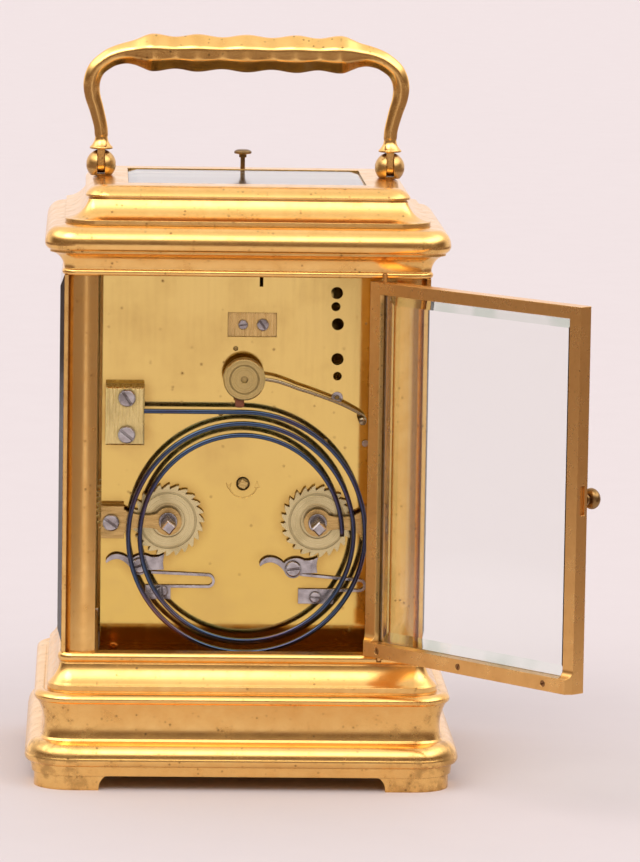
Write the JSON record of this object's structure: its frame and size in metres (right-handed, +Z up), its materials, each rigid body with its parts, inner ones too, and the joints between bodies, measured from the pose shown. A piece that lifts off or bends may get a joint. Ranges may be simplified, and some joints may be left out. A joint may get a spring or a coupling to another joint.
{
  "type": "carriage clock",
  "caption": "Gilt brass gorge-case carriage clock with bevelled glasses, folding handle, hinged back door, push repeat, coiled gong and winding squares.",
  "frame": {"origin": "centre of the case's footprint on the surface that the feet stand on", "axes": "+Z up; -Y is the back of the clock, where the glazed door and the winding squares are; +Y is the front, where the dial is; +X is to the right for someone who looks at the back"},
  "size_m": [0.1276, 0.1302, 0.1717],
  "materials": {
    "gilt_case": "fire-gilt, satin with worn highlights",
    "dark_brass": "tarnished brass",
    "polished_plate": "polished gilt",
    "pale_brass": "grained pale brass",
    "wheel_brass": "satin",
    "steel": "polished steel",
    "blued_steel": "tempered blue",
    "bevelled_glass": "polished, bevelled edges",
    "enamel": "white vitreous enamel",
    "leather": "tanned leather"
  },
  "bodies": {
    "case": {"base_plinth": "gilt_case", "base_moulding": "gilt_case", "deck_plate": "dark_brass", "pillar_rear_left": "gilt_case", "pillar_rear_right": "gilt_case", "pillar_front_left": "gilt_case", "pillar_front_right": "gilt_case", "cornice_moulding": "gilt_case", "lid_moulding": "gilt_case", "top_glass": "bevelled_glass", "side_glass_left": "bevelled_glass", "side_glass_right": "bevelled_glass", "front_glass": "bevelled_glass", "handle_posts": "gilt_case", "handle_pins": "steel", "back_plate": "polished_plate", "front_plate": "polished_plate", "plate_pillars": "polished_plate", "gong_block": "polished_plate", "gong_coil": "blued_steel", "plate_screws": "steel", "stud_block": "polished_plate", "ratchet_cocks": "polished_plate", "click_springs": "steel", "platform_plate": "polished_plate", "balance_cock": "polished_plate", "dial_plate": "enamel", "dial_mask": "gilt_case"},
    "door": {"door_frame": "gilt_case", "door_rail": "gilt_case", "door_glass": "bevelled_glass", "door_screws": "steel", "door_knob": "dark_brass"},
    "handle": {"handle": "gilt_case"},
    "repeat_button": {"repeat_button": "dark_brass"},
    "repeat_lever": {"repeat_lever": "steel"},
    "hammer": {"hammer_head": "pale_brass", "hammer_arm": "steel", "hammer_pad": "leather"},
    "winding_left": {"ratchet_left": "pale_brass", "winding_arbor_left": "steel"},
    "winding_right": {"ratchet_right": "pale_brass", "winding_arbor_right": "steel"},
    "click_left": {"click_left": "steel"},
    "click_right": {"click_right": "steel"},
    "going_barrel": {"barrel_left": "wheel_brass"},
    "centre_wheel": {"centre_wheel": "wheel_brass"},
    "third_wheel": {"third_wheel": "wheel_brass"},
    "contrate_wheel": {"contrate_wheel": "wheel_brass"},
    "escape_wheel": {"escape_wheel": "wheel_brass"},
    "pallet_lever": {"pallet_lever": "steel"},
    "balance": {"balance_wheel": "wheel_brass"},
    "strike_barrel": {"barrel_right": "wheel_brass"},
    "strike_wheel": {"strike_wheel": "wheel_brass"},
    "fly": {"fly": "wheel_brass"},
    "minute_hand": {"cannon_pinion": "wheel_brass", "minute_hand": "blued_steel"},
    "minute_wheel": {"minute_wheel": "wheel_brass"},
    "hour_hand": {"hour_wheel": "wheel_brass", "hour_hand": "blued_steel"}
  },
  "joints": [
    {"name": "door_hinge", "type": "hinge", "parent": "case", "child": "door", "pos_m": [0.0313, -0.0358, 0.07465], "axis": [0, 0, 1], "range_deg": [-130.5, 5]},
    {"name": "handle_swing", "type": "hinge", "parent": "case", "child": "handle", "pos_m": [0, 0, 0.14107], "axis": [1, 0, 0], "range_deg": [-75, 80]},
    {"name": "repeat_press", "type": "slide", "parent": "case", "child": "repeat_button", "axis": [0, 0, -1], "range_m": [0, 0.0025], "stiffness_N_per_m": 120, "springref_m": -0.0015},
    {"name": "repeat_lever_turn", "type": "hinge", "parent": "case", "child": "repeat_lever", "pos_m": [-0.018, 0.0243, 0.1089], "axis": [0, 1, 0], "range_deg": [0, 8]},
    {"name": "hammer_lift", "type": "hinge", "parent": "case", "child": "hammer", "pos_m": [0.0275, -0.0206, 0.0834], "axis": [0, 1, 0], "range_deg": [0, 10], "stiffness_Nm_per_rad": 0.004, "springref_deg": -5.73},
    {"name": "wind_left", "type": "hinge", "parent": "case", "child": "winding_left", "pos_m": [-0.01743, -0.02, 0.0593], "axis": [0, 1, 0], "continuous": true},
    {"name": "wind_right", "type": "hinge", "parent": "case", "child": "winding_right", "pos_m": [0.01743, -0.02, 0.0593], "axis": [0, 1, 0], "continuous": true},
    {"name": "click_left_lift", "type": "hinge", "parent": "case", "child": "click_left", "pos_m": [-0.02395, -0.0159, 0.04865], "axis": [0, 1, 0], "range_deg": [0, 10], "stiffness_Nm_per_rad": 0.002, "springref_deg": -5.73},
    {"name": "click_right_lift", "type": "hinge", "parent": "case", "child": "click_right", "pos_m": [0.01194, -0.0159, 0.04818], "axis": [0, 1, 0], "range_deg": [0, 10], "stiffness_Nm_per_rad": 0.002, "springref_deg": -5.73},
    {"name": "contrate_spin", "type": "hinge", "parent": "case", "child": "contrate_wheel", "pos_m": [-0.00209, 0.002, 0.09953], "axis": [0, 1, 0], "continuous": true},
    {"name": "third_spin", "type": "hinge", "parent": "case", "child": "third_wheel", "pos_m": [-0.00534, 0.0046, 0.08423], "axis": [0, 1, 0], "continuous": true},
    {"name": "centre_spin", "type": "hinge", "parent": "case", "child": "centre_wheel", "pos_m": [0, 0.0122, 0.0678], "axis": [0, 1, 0], "continuous": true},
    {"name": "going_barrel_spin", "type": "hinge", "parent": "case", "child": "going_barrel", "pos_m": [-0.01743, 0, 0.0593], "axis": [0, 1, 0], "continuous": true},
    {"name": "escape_spin", "type": "hinge", "parent": "case", "child": "escape_wheel", "pos_m": [-0.00209, -0.00066, 0.1215], "axis": [0, 0, 1], "continuous": true},
    {"name": "pallet_rock", "type": "hinge", "parent": "case", "child": "pallet_lever", "pos_m": [0.00421, 0.00084, 0.1215], "axis": [0, 0, 1], "range_deg": [-4, 4]},
    {"name": "balance_swing", "type": "hinge", "parent": "case", "child": "balance", "pos_m": [0.01251, 0.00284, 0.1235], "axis": [0, 0, 1], "range_deg": [-270, 270], "stiffness_Nm_per_rad": 0.000002},
    {"name": "strike_spin", "type": "hinge", "parent": "case", "child": "strike_wheel", "pos_m": [0.01906, 0.0145, 0.07793], "axis": [0, 1, 0], "continuous": true},
    {"name": "strike_barrel_spin", "type": "hinge", "parent": "case", "child": "strike_barrel", "pos_m": [0.01743, 0, 0.0593], "axis": [0, 1, 0], "continuous": true},
    {"name": "fly_spin", "type": "hinge", "parent": "case", "child": "fly", "pos_m": [0.0217, 0, 0.0883], "axis": [0, 1, 0], "continuous": true},
    {"name": "minute_hand_turn", "type": "hinge", "parent": "case", "child": "minute_hand", "pos_m": [0, 0.025, 0.0678], "axis": [0, 1, 0], "continuous": true},
    {"name": "minute_wheel_turn", "type": "hinge", "parent": "case", "child": "minute_wheel", "pos_m": [-0.00902, 0.0203, 0.06452], "axis": [0, 1, 0], "continuous": true},
    {"name": "hour_hand_turn", "type": "hinge", "parent": "case", "child": "hour_hand", "pos_m": [0, 0.025, 0.0678], "axis": [0, 1, 0], "continuous": true}
  ],
  "couplings": [
    {"joint": "repeat_lever_turn", "follows": "repeat_press", "rad_per_m": 55.6},
    {"joint": "third_spin", "follows": "contrate_spin", "ratio": -0.13333},
    {"joint": "centre_spin", "follows": "contrate_spin", "ratio": 0.016667},
    {"joint": "going_barrel_spin", "follows": "contrate_spin", "ratio": -0.0027778},
    {"joint": "escape_spin", "follows": "contrate_spin", "ratio": -10},
    {"joint": "strike_barrel_spin", "follows": "strike_spin", "ratio": -0.125},
    {"joint": "fly_spin", "follows": "strike_spin", "ratio": -7.5},
    {"joint": "minute_wheel_turn", "follows": "minute_hand_turn", "ratio": -0.33333},
    {"joint": "hour_hand_turn", "follows": "minute_hand_turn", "ratio": 0.083333}
  ]
}
